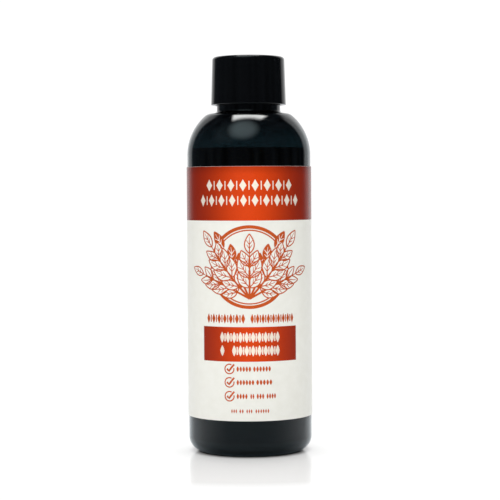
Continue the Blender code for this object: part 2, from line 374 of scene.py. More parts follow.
# A sprig: places along the stem are shares of its length, and angles are in degrees
EMBLEM_FOOT = (0, 36.6 * MM)
STEM_STEPS = 40
STEM_LINE = 0.54 * MM
STEM_START_WIDTH = 1.2
STEM_WIDTH_FALL = 0.75
FIRST_PAIR = 0.24
PAIRS_SPREAD = 0.72
LEAST_LEAF = 0.74
PAIR_SHIFT = 0.7
LEAF_TURN = 50
LEAF_TURN_FALL = 14
LEAF_BEND = 24
TIP_LEAF_LENGTH = 0.9
TIP_LEAF_WIDTH = 0.85


def wrapped(name, patches, lift, depth):
    """Wrap flat patches round the bottle as a closed sheet, with its outer side at `lift`."""
    shape = bmesh.new()
    radius = LABEL_RADIUS + lift
    for patch in patches:
        grid = []
        for row in patch:
            points = []
            for across, up in row:
                angle = across / LABEL_RADIUS
                position = (radius * math.sin(angle), -radius * math.cos(angle), LABEL_BOTTOM + up)
                points.append(shape.verts.new(position))
            grid.append(points)
        for near, far in zip(grid, grid[1:]):
            for k in range(len(near) - 1):
                corners = (near[k], far[k], far[k + 1], near[k + 1])
                distinct = {tuple(v.co): v for v in corners}
                if len(distinct) > 2:
                    shape.faces.new(distinct.values())
    bmesh.ops.remove_doubles(shape, verts=shape.verts, dist=WELD)
    for face in shape.faces:
        face.normal_update()
        middle = face.calc_center_median()
        if face.normal.x * middle.x + face.normal.y * middle.y < 0:
            face.normal_flip()
    piece = new_piece(name, shape)
    sheet = piece.modifiers.new("Sheet", "SOLIDIFY")
    sheet.thickness = depth
    sheet.offset = -1
    apply_modifiers(piece)
    return piece


def between(left, right, bottom_of, top_of, least_steps=2):
    """A patch from left to right, in an even number of steps, between two heights.

    Each height is a function of the place across.
    """
    steps = max(least_steps, 2 * math.ceil((right - left) / PRINT_STEP / 2))
    bottom_row = []
    top_row = []
    for i in range(steps + 1):
        across = left + (right - left) * i / steps
        bottom_row.append((across, bottom_of(across)))
        top_row.append((across, top_of(across)))
    return [bottom_row, top_row]


def block(left, right, bottom, top):
    """A rectangle."""
    return between(left, right, lambda across: bottom, lambda across: top)


def bar(left, right, bottom, top):
    """A bar with rounded ends."""
    half = (top - bottom) / 2
    middle = (top + bottom) / 2

    def half_height(across):
        into = min(half, across - left, right - across)
        return math.sqrt(max(0.0, half**2 - (half - into) ** 2))

    patch = [[], []]
    ends = BAR_END_STEPS
    places = [left + half * (1 - math.cos(math.pi / 2 * i / ends)) for i in range(ends + 1)]
    straight = max(1, math.ceil((right - left - 2 * half) / PRINT_STEP))
    places += [left + half + (right - left - 2 * half) * i / straight for i in range(1, straight)]
    places += [left + right - place for place in reversed(places[: ends + 1])]
    for across in places:
        height = half_height(across)
        patch[0].append((across, middle - height))
        patch[1].append((across, middle + height))
    return patch


def lozenge(centre, width, bottom, top, hollow):
    """An upright lozenge, with hollowed sides if `hollow` is over 1 and full ones if under."""
    middle = (top + bottom) / 2
    half_height = (top - bottom) / 2

    def height(across):
        return half_height * max(0.0, 1 - 2 * abs(across - centre) / width) ** hollow

    return between(
        centre - width / 2,
        centre + width / 2,
        lambda across: middle - height(across),
        lambda across: middle + height(across),
        LOZENGE_STEPS,
    )


def ornament(row):
    """A line of lozenges with a slim stroke between each pair, in place of one line of text.

    The line is (bottom, top, words, style) and each word (left, right, lozenges), in millimetres.
    """
    bottom, top, words, style = row
    share, stroke, hollow = ORNAMENT_STYLES[style]
    inset = (top - bottom) * STROKE_INSET
    patches = []
    for left, right, count in words:
        pitch = (right - left) / max(1, count - 1 + share)
        width = pitch * share * MM
        for i in range(count):
            centre = left + pitch * (i + share / 2)
            patches.append(lozenge(centre * MM, width, bottom * MM, top * MM, hollow))
            if stroke and i < count - 1:
                middle = (centre + pitch / 2) * MM
                ends = ((bottom + inset) * MM, (top - inset) * MM)
                patches.append(block(middle - stroke / 2, middle + stroke / 2, *ends))
    return patches


def ribbon(path, width):
    """A line of even width, or of a width given at each point, along a path of flat points."""
    widths = width if isinstance(width, list) else [width] * len(path)
    rows = [[], []]
    for i, (x, y) in enumerate(path):
        before = path[max(0, i - 1)]
        after = path[min(len(path) - 1, i + 1)]
        dx = after[0] - before[0]
        dy = after[1] - before[1]
        length = math.hypot(dx, dy) or 1
        half = widths[i] / 2
        rows[0].append((x - dy / length * half, y + dx / length * half))
        rows[1].append((x + dy / length * half, y - dx / length * half))
    return rows


def tapered(width, start, fall, steps):
    """Widths for a ribbon that narrows evenly: start and fall are shares of its width."""
    return [width * (start - fall * i / steps) for i in range(steps + 1)]


def circle_line(centre, radius, width, start=0, end=360):
    """A line along a circle, or along part of one between two angles in degrees."""
    steps = max(CIRCLE_LEAST_STEPS, math.ceil(math.radians(end - start) * radius / PRINT_STEP))
    path = []
    for i in range(steps + 1):
        angle = math.radians(start + (end - start) * i / steps)
        path.append((centre[0] + radius * math.cos(angle), centre[1] + radius * math.sin(angle)))
    return ribbon(path, width)


def curve(root, heading, length, bend, steps):
    """A path of even steps that turns by `bend` degrees, and each step's heading in degrees."""
    path = [root]
    headings = []
    for i in range(steps):
        angle = heading + bend * (i + 0.5) / steps
        x, y = path[-1]
        dx = length / steps * math.cos(math.radians(angle))
        dy = length / steps * math.sin(math.radians(angle))
        path.append((x + dx, y + dy))
        headings.append(angle)
    return path, headings


def leaf_half_width(share, half_width):
    """Half the width of a leaf at a share of the way from its root to its tip."""
    if not 0 < share < 1:
        return 0
    return half_width * math.sin(math.pi * share**LEAF_BELLY) ** LEAF_FULLNESS


def leaf_veins(spine, headings, length, half_width, solid):
    """A leaf's midrib and, on a long leaf, its side veins."""
    steps = len(spine) - 1
    rib_end = round(steps * RIB_END)
    rib_line = SOLID_LEAF_RIB if solid else LEAF_LINE
    rib_widths = tapered(rib_line, RIB_START_WIDTH, RIB_WIDTH_FALL, rib_end)
    veins = [ribbon(spine[: rib_end + 1], rib_widths)]
    if length <= VEINED_LEAF:
        return veins
    for share in VEIN_PLACES:
        i = round(steps * share)
        x, y = spine[i]
        run = leaf_half_width(share, half_width) * VEIN_REACH / math.sin(VEIN_ANGLE)
        for side in (-1, 1):
            angle = math.radians(headings[i]) + side * VEIN_ANGLE
            tip = (x + run * math.cos(angle), y + run * math.sin(angle))
            middle = ((x + tip[0]) / 2, (y + tip[1]) / 2)
            veins.append(ribbon([spine[i], middle, tip], [VEIN_LINE, VEIN_LINE, VEIN_LINE / 2]))
    return veins


def leaf(root, heading, length, half_width, bend, solid):
    """A pointed leaf, as (blade, edges, veins).

    The midrib leaves the root at `heading` degrees and has turned by `bend` degrees at the tip.
    """
    steps = max(LEAF_LEAST_STEPS, math.ceil(length / PRINT_STEP))
    spine, headings = curve(root, heading, length, bend, steps)
    headings.insert(0, heading)
    blade = []
    left_edge = []
    right_edge = []
    for i, (x, y) in enumerate(spine):
        half = leaf_half_width(i / steps, half_width)
        side_x = -math.sin(math.radians(headings[i])) * half
        side_y = math.cos(math.radians(headings[i])) * half
        left_edge.append((x + side_x, y + side_y))
        right_edge.append((x - side_x, y - side_y))
        row = []
        for k in range(LEAF_COLUMNS + 1):
            place = 2 * k / LEAF_COLUMNS - 1
            row.append((x + side_x * place, y + side_y * place))
        blade.append(row)
    edges = [ribbon(left_edge, LEAF_LINE), ribbon(right_edge, LEAF_LINE)]
    return [blade], edges, leaf_veins(spine, headings, length, half_width, solid)


def sprig(heading, length, bend, pairs, leaf_length, leaf_width, solid=False):
    """A curved stem from the foot of the emblem, with pairs of leaves and one at its tip.

    It gives (inked, paper): what is printed in ink, and what shows the paper colour. The leaves
    of a solid sprig are inked with paper veins, and those of an open one are outlined.
    """
    stem, headings = curve(EMBLEM_FOOT, heading, length, bend, STEM_STEPS)
    headings.append(heading + bend)
    leaves = []
    for pair in range(pairs):
        share = FIRST_PAIR + PAIRS_SPREAD * pair / pairs
        i = round(STEM_STEPS * share)
        swell = math.sin(math.pi * (pair + PAIR_SHIFT) / pairs)
        size = LEAST_LEAF + (1 - LEAST_LEAF) * swell
        for side in (-1, 1):
            turn = side * (LEAF_TURN - LEAF_TURN_FALL * share)
            shape = (leaf_length * size, leaf_width * size)
            leaves.append(leaf(stem[i], headings[i] + turn, *shape, -side * LEAF_BEND, solid))
    tip_shape = (leaf_length * TIP_LEAF_LENGTH, leaf_width * TIP_LEAF_WIDTH)
    leaves.append(leaf(stem[-1], headings[-1], *tip_shape, 0, solid))
    stem_line = ribbon(stem, tapered(STEM_LINE, STEM_START_WIDTH, STEM_WIDTH_FALL, STEM_STEPS))
    blades, edges, veins = (sum(parts, []) for parts in zip(*leaves))
    if solid:
        return blades + edges + [stem_line], veins
    return edges + veins + [stem_line], blades


# ---------------------------------------------------------------- materials

# Where the shoulder's wall starts to thicken, above its start, and where it is all thick, above
# its crown
THIN_SHOULDER = 4.2 * MM
THICK_ROOT = 0.5 * MM
THIN_TINT = (0.050, 0.087, 0.099)
THICK_TINT = (0.004, 0.005, 0.006)

# How quickly painted shade deepens the ink as it turns from the viewer, and its colours facing and
# painted-shaded turned away
INK_SHADE_FALLOFF = 5.2
ORANGE_INK_AND_SHADE = ((0.755, 0.058, 0.0015), (0.24, 0.012, 0.001))
LINE_INK_AND_SHADE = ((0.61, 0.096, 0.015), (0.47, 0.075, 0.012))
WHITE_INK_AND_SHADE = ((1.0, 0.90, 0.76), (0.70, 0.62, 0.54))
# The ink's shine: the turn away from the viewer where it starts and ends, and its two levels
INK_SHINE = (0.42, 0.82, 0.25, 0.85)
# How far below the label's top edge the painted shade on the ink starts, and what share of its
# colour is left at the edge
TOP_EDGE_SHADE_DEPTH = 3.0 * MM
TOP_EDGE_SHADE_LEVEL = 0.72

# Noise keeps mostly between these two values
NOISE_LOW = 0.3
NOISE_HIGH = 0.7

# The owner of a node tree is a material or the world. A node's input is fed with a number, a
# colour or vector of three numbers, or another node's output.


def feed(owner, value, target):
    if isinstance(value, bpy.types.NodeSocket):
        owner.node_tree.links.new(value, target)
    elif target.type == "RGBA":
        target.default_value = (*value, 1)
    else:
        target.default_value = value


def add_node(owner, kind, inputs=None, **settings):
    made = owner.node_tree.nodes.new(kind)
    for key, value in settings.items():
        setattr(made, key, value)
    for title, value in (inputs or {}).items():
        feed(owner, value, made.inputs[title])
    return made


def math_node(owner, operation, *values):
    inputs = dict(enumerate(values))
    return add_node(owner, "ShaderNodeMath", inputs, operation=operation).outputs[0]


def colour_mix(owner, factor, first, second, blend="MIX"):
    inputs = {"Factor": factor, "A": first, "B": second}
    mix = add_node(owner, "ShaderNodeMix", inputs, data_type="RGBA", blend_type=blend)
    return mix.outputs["Result"]


def scaled_colour(owner, colour, amount):
    inputs = {0: colour, "Scale": amount}
    return add_node(owner, "ShaderNodeVectorMath", inputs, operation="SCALE").outputs["Vector"]


def map_range(owner, value, start, end, low, high, curve="LINEAR"):
    """Map a value from start..end to low..high, held at both ends."""
    limits = (start, end, low, high) if start < end else (end, start, high, low)
    inputs = dict(zip(("From Min", "From Max", "To Min", "To Max"), limits))
    inputs["Value"] = value
    ranged = add_node(owner, "ShaderNodeMapRange", inputs, interpolation_type=curve)
    return ranged.outputs["Result"]


def smooth_range(owner, value, start, end, low, high):
    """Map a value in the same way, but along an S-curve."""
    return map_range(owner, value, start, end, low, high, "SMOOTHSTEP")


def scaled_noise(owner, noise, low, high):
    """Noise mapped from its usual middle range to low..high."""
    return map_range(owner, noise, NOISE_LOW, NOISE_HIGH, low, high)


def stretched_noise(owner, place, scale, detail, stretch):
    mapped = add_node(owner, "ShaderNodeMapping", {"Vector": place, "Scale": stretch})
    inputs = {"Vector": mapped.outputs["Vector"], "Scale": scale, "Detail": detail}
    return add_node(owner, "ShaderNodeTexNoise", inputs).outputs["Fac"]


def split_axes(owner, place):
    split = add_node(owner, "ShaderNodeSeparateXYZ", {"Vector": place})
    return [split.outputs[axis] for axis in "XYZ"]


def object_place(material):
    """The place of a point in the row frame."""
    return add_node(material, "ShaderNodeTexCoord").outputs["Object"]


def object_noise(material, scale, detail, stretch=(1, 1, 1)):
    """Noise in the row frame, so that every piece shows it at its real size."""
    return stretched_noise(material, object_place(material), scale, detail, stretch)


def shader_of(material):
    return material.node_tree.nodes["Principled BSDF"]


def output_of(material):
    return material.node_tree.nodes["Material Output"]


def drive(material, value, title):
    """Feed one of the shader's inputs."""
    feed(material, value, shader_of(material).inputs[title])


def new_material(name, values):
    """A material with some of its shader's inputs set. The others keep Blender's values."""
    material = bpy.data.materials.new(name)
    material.use_nodes = True
    for title, value in values.items():
        drive(material, value, title)
    return material


def mix_by_noise(material, noise, dark, light):
    """Drive the base colour between two close shades by noise."""
    mixed = colour_mix(material, scaled_noise(material, noise, low=0, high=1), dark, light)
    drive(material, mixed, "Base Color")


def add_bump(material, height, distance, strength):
    inputs = {"Height": height, "Distance": distance, "Strength": strength}
    bump = add_node(material, "ShaderNodeBump", inputs)
    drive(material, bump.outputs["Normal"], "Normal")


def bottle_material():
    """Very dark tinted PET with faint moulding waves.

    It is clear enough that the fill level shows, and it darkens up the shoulder, where the wall
    thickens towards the neck.
    """
    material = new_material("bottle_plastic", {"IOR": 1.575, "Transmission Weight": 1})
    z = split_axes(material, object_place(material))[2]
    thin_top = SHOULDER_START + THIN_SHOULDER
    thick_bottom = shoulder(0)[0][1] + THICK_ROOT
    thickness = map_range(material, z, thin_top, thick_bottom, 0, 1)
    tint = colour_mix(material, thickness, THIN_TINT, THICK_TINT)
    drive(material, tint, "Base Color")
    waves = object_noise(material, scale=90, detail=1.5, stretch=(1, 1, 0.35))
    drive(material, scaled_noise(material, waves, low=0.035, high=0.075), "Roughness")
    add_bump(material, waves, distance=0.02 * MM, strength=0.6)
    return material


def cap_material():
    """Black moulded polypropylene with a fine satin skin."""
    values = {"Base Color": (0.0016, 0.0018, 0.0022), "IOR": 1.49}
    material = new_material("cap_plastic", values)
    patches = object_noise(material, scale=160, detail=3)
    drive(material, scaled_noise(material, patches, low=0.10, high=0.15), "Roughness")
    grain = object_noise(material, scale=5200, detail=2)
    add_bump(material, grain, distance=0.004 * MM, strength=0.4)
    return material


def liner_material():
    """White closed-cell foam with fine pores."""
    material = new_material("liner_foam", {"Roughness": 0.75})
    pores = object_noise(material, scale=3200, detail=4)
    add_bump(material, pores, distance=0.04 * MM, strength=0.8)
    mix_by_noise(material, pores, dark=(0.80, 0.80, 0.77), light=(0.88, 0.88, 0.86))
    return material


def plug_material():
    """Natural milky polyethylene that lets a little light in."""
    values = {
        "Roughness": 0.4,
        "IOR": 1.51,
        "Subsurface Weight": 0.35,
        "Subsurface Radius": (1, 1, 1),
        "Subsurface Scale": 1.2 * MM,
    }
    material = new_material("reducer_plastic", values)
    haze = object_noise(material, scale=700, detail=3)
    mix_by_noise(material, haze, dark=(0.76, 0.78, 0.79), light=(0.84, 0.86, 0.86))
    add_bump(material, haze, distance=0.01 * MM, strength=0.4)
    return material


def liquid_material():
    """Amber, slightly cloudy aftershave that takes in most of the light that reaches it."""
    values = {"Roughness": 0.02, "IOR": 1.36, "Transmission Weight": 0.8}
    material = new_material("liquid", values)
    cloud = object_noise(material, scale=60, detail=3)
    mix_by_noise(material, cloud, dark=(0.50, 0.36, 0.13), light=(0.60, 0.45, 0.20))
    inputs = {"Color": (0.75, 0.52, 0.20), "Density": 160}
    absorption = add_node(material, "ShaderNodeVolumeAbsorption", inputs)
    feed(material, absorption.outputs["Volume"], output_of(material).inputs["Volume"])
    return material


def label_material():
    """Off-white coated label stock with a faint fibre and mottle."""
    material = new_material("label_stock", {"Roughness": 0.32})
    mottle = object_noise(material, scale=420, detail=5)
    mix_by_noise(material, mottle, dark=(0.865, 0.858, 0.790), light=(0.900, 0.895, 0.833))
    fibre = object_noise(material, scale=3800, detail=3, stretch=(1, 1, 0.5))
    add_bump(material, fibre, distance=0.010 * MM, strength=0.35)
    return material


def ink_material(name, face, edge):
    """Ink with painted shade: full colour where it faces the viewer, painted darker as it turns
    away.

    It also has painted shade, a little darker along the label's top edge.
    """
    material = new_material(name, {"Roughness": 0.27})
    turned = add_node(material, "ShaderNodeLayerWeight", {"Blend": 0.5}).outputs["Facing"]
    drive(material, smooth_range(material, turned, *INK_SHINE), "Specular IOR Level")
    # Painted shade: the ink is drawn darker as its surface turns from the viewer, in place of light
    # falling off round the label.
    facing_lit_share = math_node(material, "POWER", math_node(material, "SUBTRACT", 1, turned), INK_SHADE_FALLOFF)
    painted_facing_shade = colour_mix(material, facing_lit_share, edge, face)
    speckle = object_noise(material, scale=2600, detail=4)
    level = scaled_noise(material, speckle, low=0, high=1)
    tint = colour_mix(material, level, (0.93, 0.91, 0.90), (1, 1, 1))
    shade = colour_mix(material, 1, painted_facing_shade, tint, blend="MULTIPLY")
    # Painted shade: the ink is darker towards the label's top edge.
    z = split_axes(material, object_place(material))[2]
    top_edge_shade = smooth_range(material, z, LABEL_TOP - TOP_EDGE_SHADE_DEPTH, LABEL_TOP, 1, TOP_EDGE_SHADE_LEVEL)
    drive(material, scaled_colour(material, shade, top_edge_shade), "Base Color")
    add_bump(material, speckle, distance=0.006 * MM, strength=0.3)
    return material


def floor_colour(material, radius):
    """The floor's colour, which depends on what looks at it: the camera, gloss or matt surfaces."""
    grain = scaled_noise(material, object_noise(material, scale=900, detail=3), low=0.99, high=1)
    # Painted shadow: to the camera the floor is darkened under the heel, as a contact shadow.
    unshadowed_floor = smooth_range(material, radius, CONTACT_SHADOW_START, CONTACT_SHADOW_END, 0, 1)
    seen = scaled_colour(material, FLOOR_SEEN, math_node(material, "MULTIPLY", grain, unshadowed_floor))
    x, y, _ = split_axes(material, object_place(material))
    forward = math_node(material, "MULTIPLY", y, -1)
    azimuth = math_node(material, "ARCTAN2", math_node(material, "ABSOLUTE", x), forward)
    # Painted shade: reflections see the floor darker and bluer in front of the bottle than behind
    # it.
    backward = smooth_range(material, azimuth, FLOOR_FRONT, FLOOR_BACK, 0, 1)
    reflected = colour_mix(material, backward, FLOOR_REFLECTED_FRONT, FLOOR_REFLECTED_BACK)
    path = add_node(material, "ShaderNodeLightPath")
    for_gloss = colour_mix(material, path.outputs["Is Glossy Ray"], seen, reflected)
    matt = scaled_colour(material, FLOOR_FOR_MATT, grain)
    return colour_mix(material, path.outputs["Is Diffuse Ray"], for_gloss, matt)


def floor_material():
    """A pale, slightly glossy sweep that runs into pure white away from the bottle."""
    values = {"Roughness": 0.10, "Specular IOR Level": FLOOR_SHINE}
    material = new_material("studio_floor", values)
    inputs = {0: object_place(material)}
    distance = add_node(material, "ShaderNodeVectorMath", inputs, operation="LENGTH")
    radius = distance.outputs["Value"]
    drive(material, floor_colour(material, radius), "Base Color")
    # Painted light: to the camera, the floor glows partly towards white just beyond the heel, and
    # fully far away.
    lift = smooth_range(material, radius, LIFT_START, LIFT_END, 0, FLOOR_LIFT)
    sweep_in = smooth_range(material, radius, SWEEP_START, SWEEP_END, 0, 1)
    away = math_node(material, "MAXIMUM", lift, sweep_in)
    path = add_node(material, "ShaderNodeLightPath")
    shown = math_node(material, "MULTIPLY", away, path.outputs["Is Camera Ray"])
    near = shader_of(material).outputs["BSDF"]
    far = add_node(material, "ShaderNodeEmission", {"Strength": WHITE_SEEN}).outputs["Emission"]
    sweep = add_node(material, "ShaderNodeMixShader", {"Fac": shown, 1: near, 2: far})
    feed(material, sweep.outputs["Shader"], output_of(material).inputs["Surface"])
    return material


# ---------------------------------------------------------------- the object's pieces


def stand_in(piece, node, body, material):
    """Give a piece its material and let it stand for a CAD node, riding on the node's body."""
    piece.data.materials.clear()
    piece.data.materials.append(material)
    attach(piece, body)
    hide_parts(node)


def make_bottle():
    piece = lathe("bottle_shell", bottle_outline())
    crest = CAP_BORE_RADIUS - THREAD_CLEARANCE
    join_ridge(piece, thread_ridge("neck_ridge", NECK_RADIUS, crest, THREAD_START))
    stand_in(piece, "bottle", "bottle", bottle_material())


def make_cap():
    piece = lathe("cap_shell", cap_outline())
    crest = NECK_RADIUS + THREAD_CLEARANCE
    start = THREAD_START - PITCH / 2
    join_ridge(piece, thread_ridge("cap_ridge", CAP_BORE_RADIUS, crest, start))
    stand_in(piece, "screw_cap", "cap", cap_material())


def make_liner():
    edge_r = LINER_RADIUS - LINER_EDGE
    outline = [(0, LINER_TOP)]
    outline += arc(edge_r, LINER_TOP - LINER_EDGE, LINER_EDGE, 90, 0)
    outline += arc(edge_r, LINER_BOTTOM + LINER_EDGE, LINER_EDGE, 0, -90)
    outline += [(0, LINER_BOTTOM)]
    piece = lathe("liner_disc", outline)
    stand_in(piece, "cap_liner", "liner_carrier", liner_material())


def make_plug():
    piece = lathe("pouring_plug", plug_outline(), closed=True)
    stand_in(piece, "orifice_reducer", "bottle", plug_material())


def dress_liquid():
    """The CAD liquid has the right shape, so it only takes a better material."""
    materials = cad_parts["aftershave_liquid"].data.materials
    materials.clear()
    materials.append(liquid_material())


# ---------------------------------------------------------------- the label and its print
# Heights are above the label's bottom edge, and widths are measured round the label.

BAND_BOTTOM = 59.8 * MM
BAND_TOP_MARGIN = 0.04 * MM
HEADING = (
    (68.5, 72.1, ((-13.9, 13.9, 8),), "stroked"),
    (64.0, 67.6, ((-16.4, 16.5, 10),), "stroked"),
)
RING_CENTRE = (0, 46.0 * MM)
RING_OUTER = 12.45 * MM
RING_LINE = 1.0 * MM
RING_INNER = 10.95 * MM
RING_THIN_LINE = 0.40 * MM
# Each pair of sprigs: lean, length, bend, pairs of leaves, leaf length and half width, solid
SPRIGS = (
    (61, 17.0, -8, 4, 5.8, 1.45, False),
    (24, 17.0, -8, 3, 6.4, 1.6, True),
    (42, 19.5, 8, 4, 6.4, 1.6, False),
    (0, 13.5, 0, 3, 6.4, 1.7, False),
)
SOLID_SPRIGS = (3, 4)
TAGLINE = (29.1, 32.1, ((-13.9, -1.4, 7), (0.2, 14.3, 9)), "strong")
PANEL_BOTTOM = 17.8 * MM
PANEL_TOP = 28.15 * MM
PANEL_HALF_WIDTH = 15.4 * MM
PANEL_LINES = (
    (23.4, 26.7, ((-9.2, 9.2, 10),), "bold"),
    (19.4, 22.7, ((-9.2, -7.2, 1), (-5.4, 9.2, 8)), "bold"),
)
# The ticks in rings, in millimetres: each tick's points, and the angles that its ring runs between
CHECK_HEIGHTS = (15.6, 11.6, 7.45)
CHECK_PLACE = -6.3
CHECK_RADIUS = 1.42 * MM
CHECK_LINE = 0.36 * MM
CHECK_RING = (62, 372)
TICK = ((-0.75, 0.1), (-0.45, -0.3), (-0.15, -0.62), (0.4, 0.1), (0.95, 0.8), (1.5, 1.4))
TICK_LINE = 0.56 * MM
CHECK_WORDS = (
    ((-4.1, 0.3, 5), (0.9, 6.3, 6)),
    ((-4.1, 1.2, 6), (1.8, 6.7, 5)),
    ((-4.1, -0.8, 4), (0.0, 1.2, 2), (1.9, 4.2, 3), (4.9, 7.9, 4)),
)
CHECK_WORD_HEIGHT = 1.7
FOOT_LINE = (2.3, 3.7, ((-5.8, -4.0, 3), (-3.3, -2.0, 2), (-1.2, 0.6, 3), (1.5, 5.7, 6)), "fine")
# The back's columns of lines, in millimetres: one place is left empty between two paragraphs, and
# the other lines stop short of the column's width by a share of it
BACK_COLUMNS = ((-50.5, -30.5, -1), (30.5, 50.5, 1))
BACK_LINES = 14
BACK_EMPTY_LINE = 5
BACK_TOP_LINE = 49.0
BACK_LINE_STEP = 2.9
BACK_LINE_HEIGHT = 0.75
BACK_LAST_LINE_SHORT = 0.55
BACK_LEAST_SHORT = 0.08
BACK_SHORT_STEP = 0.10
BACK_SHORT_CYCLE = 4


def check_marks():
    """A ringed tick before each of three short lines."""
    patches = []
    half = CHECK_WORD_HEIGHT / 2
    for height, line_words in zip(CHECK_HEIGHTS, CHECK_WORDS):
        x = CHECK_PLACE * MM
        y = height * MM
        patches.append(circle_line((x, y), CHECK_RADIUS, CHECK_LINE, *CHECK_RING))
        patches.append(ribbon([(x + dx * MM, y + dy * MM) for dx, dy in TICK], TICK_LINE))
        patches += ornament((height - half, height + half, line_words, "dense"))
    return patches


def back_marks():
    """Columns of short lines on the back, where the small print would be."""
    patches = []
    last_lines = (BACK_EMPTY_LINE - 1, BACK_LINES - 1)
    for left, right, side in BACK_COLUMNS:
        for line in range(BACK_LINES):
            if line == BACK_EMPTY_LINE:
                continue
            bottom = BACK_TOP_LINE - line * BACK_LINE_STEP
            short = BACK_LEAST_SHORT + BACK_SHORT_STEP * ((line + side) % BACK_SHORT_CYCLE)
            if line in last_lines:
                short = BACK_LAST_LINE_SHORT
            end = right - (right - left) * short
            patches.append(bar(left * MM, end * MM, bottom * MM, (bottom + BACK_LINE_HEIGHT) * MM))
    return patches


def emblem():
    """A ring, and the sprigs in front of it from the back one to the front one."""
    ring = [
        circle_line(RING_CENTRE, RING_OUTER - RING_LINE / 2, RING_LINE),
        circle_line(RING_CENTRE, RING_INNER, RING_THIN_LINE),
    ]
    sprigs = []
    for lean, length, bend, pairs, leaf_length, leaf_width, solid in SPRIGS:
        for side in (-1, 1) if lean else (1,):
            shape = (length * MM, side * bend, pairs, leaf_length * MM, leaf_width * MM)
            sprigs.append(sprig(90 - side * lean, *shape, solid))
    return ring, sprigs


def print_piece(name, patches, material, level):
    """One printed layer on the label. Higher levels lie over lower ones."""
    lift = INK * level
    piece = wrapped(name, patches, lift, lift + INK_SINK)
    piece.data.materials.clear()
    piece.data.materials.append(material)
    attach(piece, "bottle")


def make_label():
    stock = label_material()
    orange = ink_material("orange_ink", *ORANGE_INK_AND_SHADE)
    line = ink_material("orange_line_ink", *LINE_INK_AND_SHADE)
    white = ink_material("white_ink", *WHITE_INK_AND_SHADE)
    half = math.radians(LABEL_HALF_SWEEP) * LABEL_RADIUS
    height = LABEL_TOP - LABEL_BOTTOM
    sheet = wrapped("label_sheet", [block(-half, half, 0, height)], 0, LABEL_THICKNESS)
    stand_in(sheet, "wrap_label", "bottle", stock)
    band = [block(-half, half, BAND_BOTTOM, height - BAND_TOP_MARGIN)]
    print_piece("label_band", band, orange, 1)
    print_piece("label_heading", ornament(HEADING[0]) + ornament(HEADING[1]), white, 2)
    panel = [block(-PANEL_HALF_WIDTH, PANEL_HALF_WIDTH, PANEL_BOTTOM, PANEL_TOP)]
    print_piece("label_panel", panel, orange, 1)
    panel_marks = ornament(PANEL_LINES[0]) + ornament(PANEL_LINES[1])
    print_piece("label_panel_marks", panel_marks, white, 2)
    small = ornament(TAGLINE) + check_marks() + ornament(FOOT_LINE) + back_marks()
    print_piece("label_small_print", small, line, 1)
    ring, sprigs = emblem()
    print_piece("label_ring", ring, line, 1)
    for number, (inked, paper) in enumerate(sprigs, start=1):
        layers = [(paper, stock), (inked, line)]
        if number in SOLID_SPRIGS:
            layers.reverse()
        print_piece(f"label_sprig_{number}_under", *layers[0], 2 * number)
        print_piece(f"label_sprig_{number}_over", *layers[1], 2 * number + 1)


# ---------------------------------------------------------------- the studio

CAMERA_DISTANCE = 0.535
CAMERA_HEIGHT = 0.0802
CAMERA_PITCH = -1.988
CAMERA_ROLL = -0.35
CAMERA_YAW = -0.02
CAMERA_LENS = 125.2
CAMERA_SENSOR = 36.0
CAMERA_CLIP = 0.01

# The floor's colours, to the camera, to matt surfaces and to reflections in front of and behind the
# bottle; the reflected ones are painted shade, darker in front than behind
FLOOR_SIZE = 4
FLOOR_SEEN = (1, 0.995, 0.98)
FLOOR_FOR_MATT = (1, 1, 1)
FLOOR_REFLECTED_FRONT = (0.27, 0.335, 0.37)
FLOOR_REFLECTED_BACK = (0.87, 0.90, 0.93)
FLOOR_FRONT = math.radians(25)
FLOOR_BACK = math.radians(105)
FLOOR_SHINE = 0.2
# Distances from the axis: where the floor comes out of the painted contact shadow under the heel,
# where painted light starts to lift it towards white, and where it runs into pure white
CONTACT_SHADOW_START = 14.8 * MM
CONTACT_SHADOW_END = 17.2 * MM
LIFT_START = 16.0 * MM
LIFT_END = 19.5 * MM
FLOOR_LIFT = 0.25
SWEEP_START = 55 * MM
SWEEP_END = 75 * MM
WHITE_SEEN = 1.05

# What reflections see: directions are azimuth to the right of straight ahead of the bottle, and
# elevation, both in degrees. A glow also has the angles where it is full and gone, and a colour.
KEY_GLOW = (-16, 57, 0, 29, (0.95, 1.20, 1.25))
SIDE_GLOW = (-52, 44, 3, 30, (0.08, 0.105, 0.115))
ROOM = (0.028, 0.034, 0.042)
ROOM_STREAKS = 5
ROOM_STRETCH = (1, 1, 0.15)
ROOM_RANGE = (0.4, 2.0)
SKY_FOR_MATT = 0.52
# The backdrop: azimuths either side of its middle where it is gone and full, where its dimmer
# edge starts and ends, how bright that edge is, and the heights where its top is gone and full
BACKDROP_TURN = math.radians(3.5)
BACKDROP_EDGE = (math.radians(54), math.radians(45))
BACKDROP_DIM = (math.radians(40), math.radians(24))
BACKDROP_DIM_LEVEL = 0.58
BACKDROP_TOP = (0.76, 0.62)
# The overhead softbox, in distances per unit of height: its shift to the left, how far it leans
# as it goes back, its limits to the side, front and back, and how much the front is bowed
OVERHEAD_COLOUR = (10.5, 10.5, 10.3)
OVERHEAD_SHIFT = 0.03
OVERHEAD_LEAN = 0.28
OVERHEAD_SIDE = (0.39, 0.28)
OVERHEAD_FRONT = (-0.16, 0.075)
OVERHEAD_FRONT_BOW = 0.1
OVERHEAD_BACK = (0.138, 0.112)
LEAST_HEIGHT = 0.01
# The lights on matt surfaces: place, the point that each one faces, width, height, brightness
OVERHEAD_BOX = ((0, 0.1, 0.86), (0, 0, 0), 0.54, 0.54, 6.25)
FRONT_FILL = ((-0.25, -1.12, 0.45), (0, 0, 0.06), 0.9, 0.7, 2.25)


def make_floor():
    bpy.ops.mesh.primitive_plane_add(size=FLOOR_SIZE)
    floor = bpy.context.object
    floor.name = "studio_floor"
    floor.data.materials.append(floor_material())


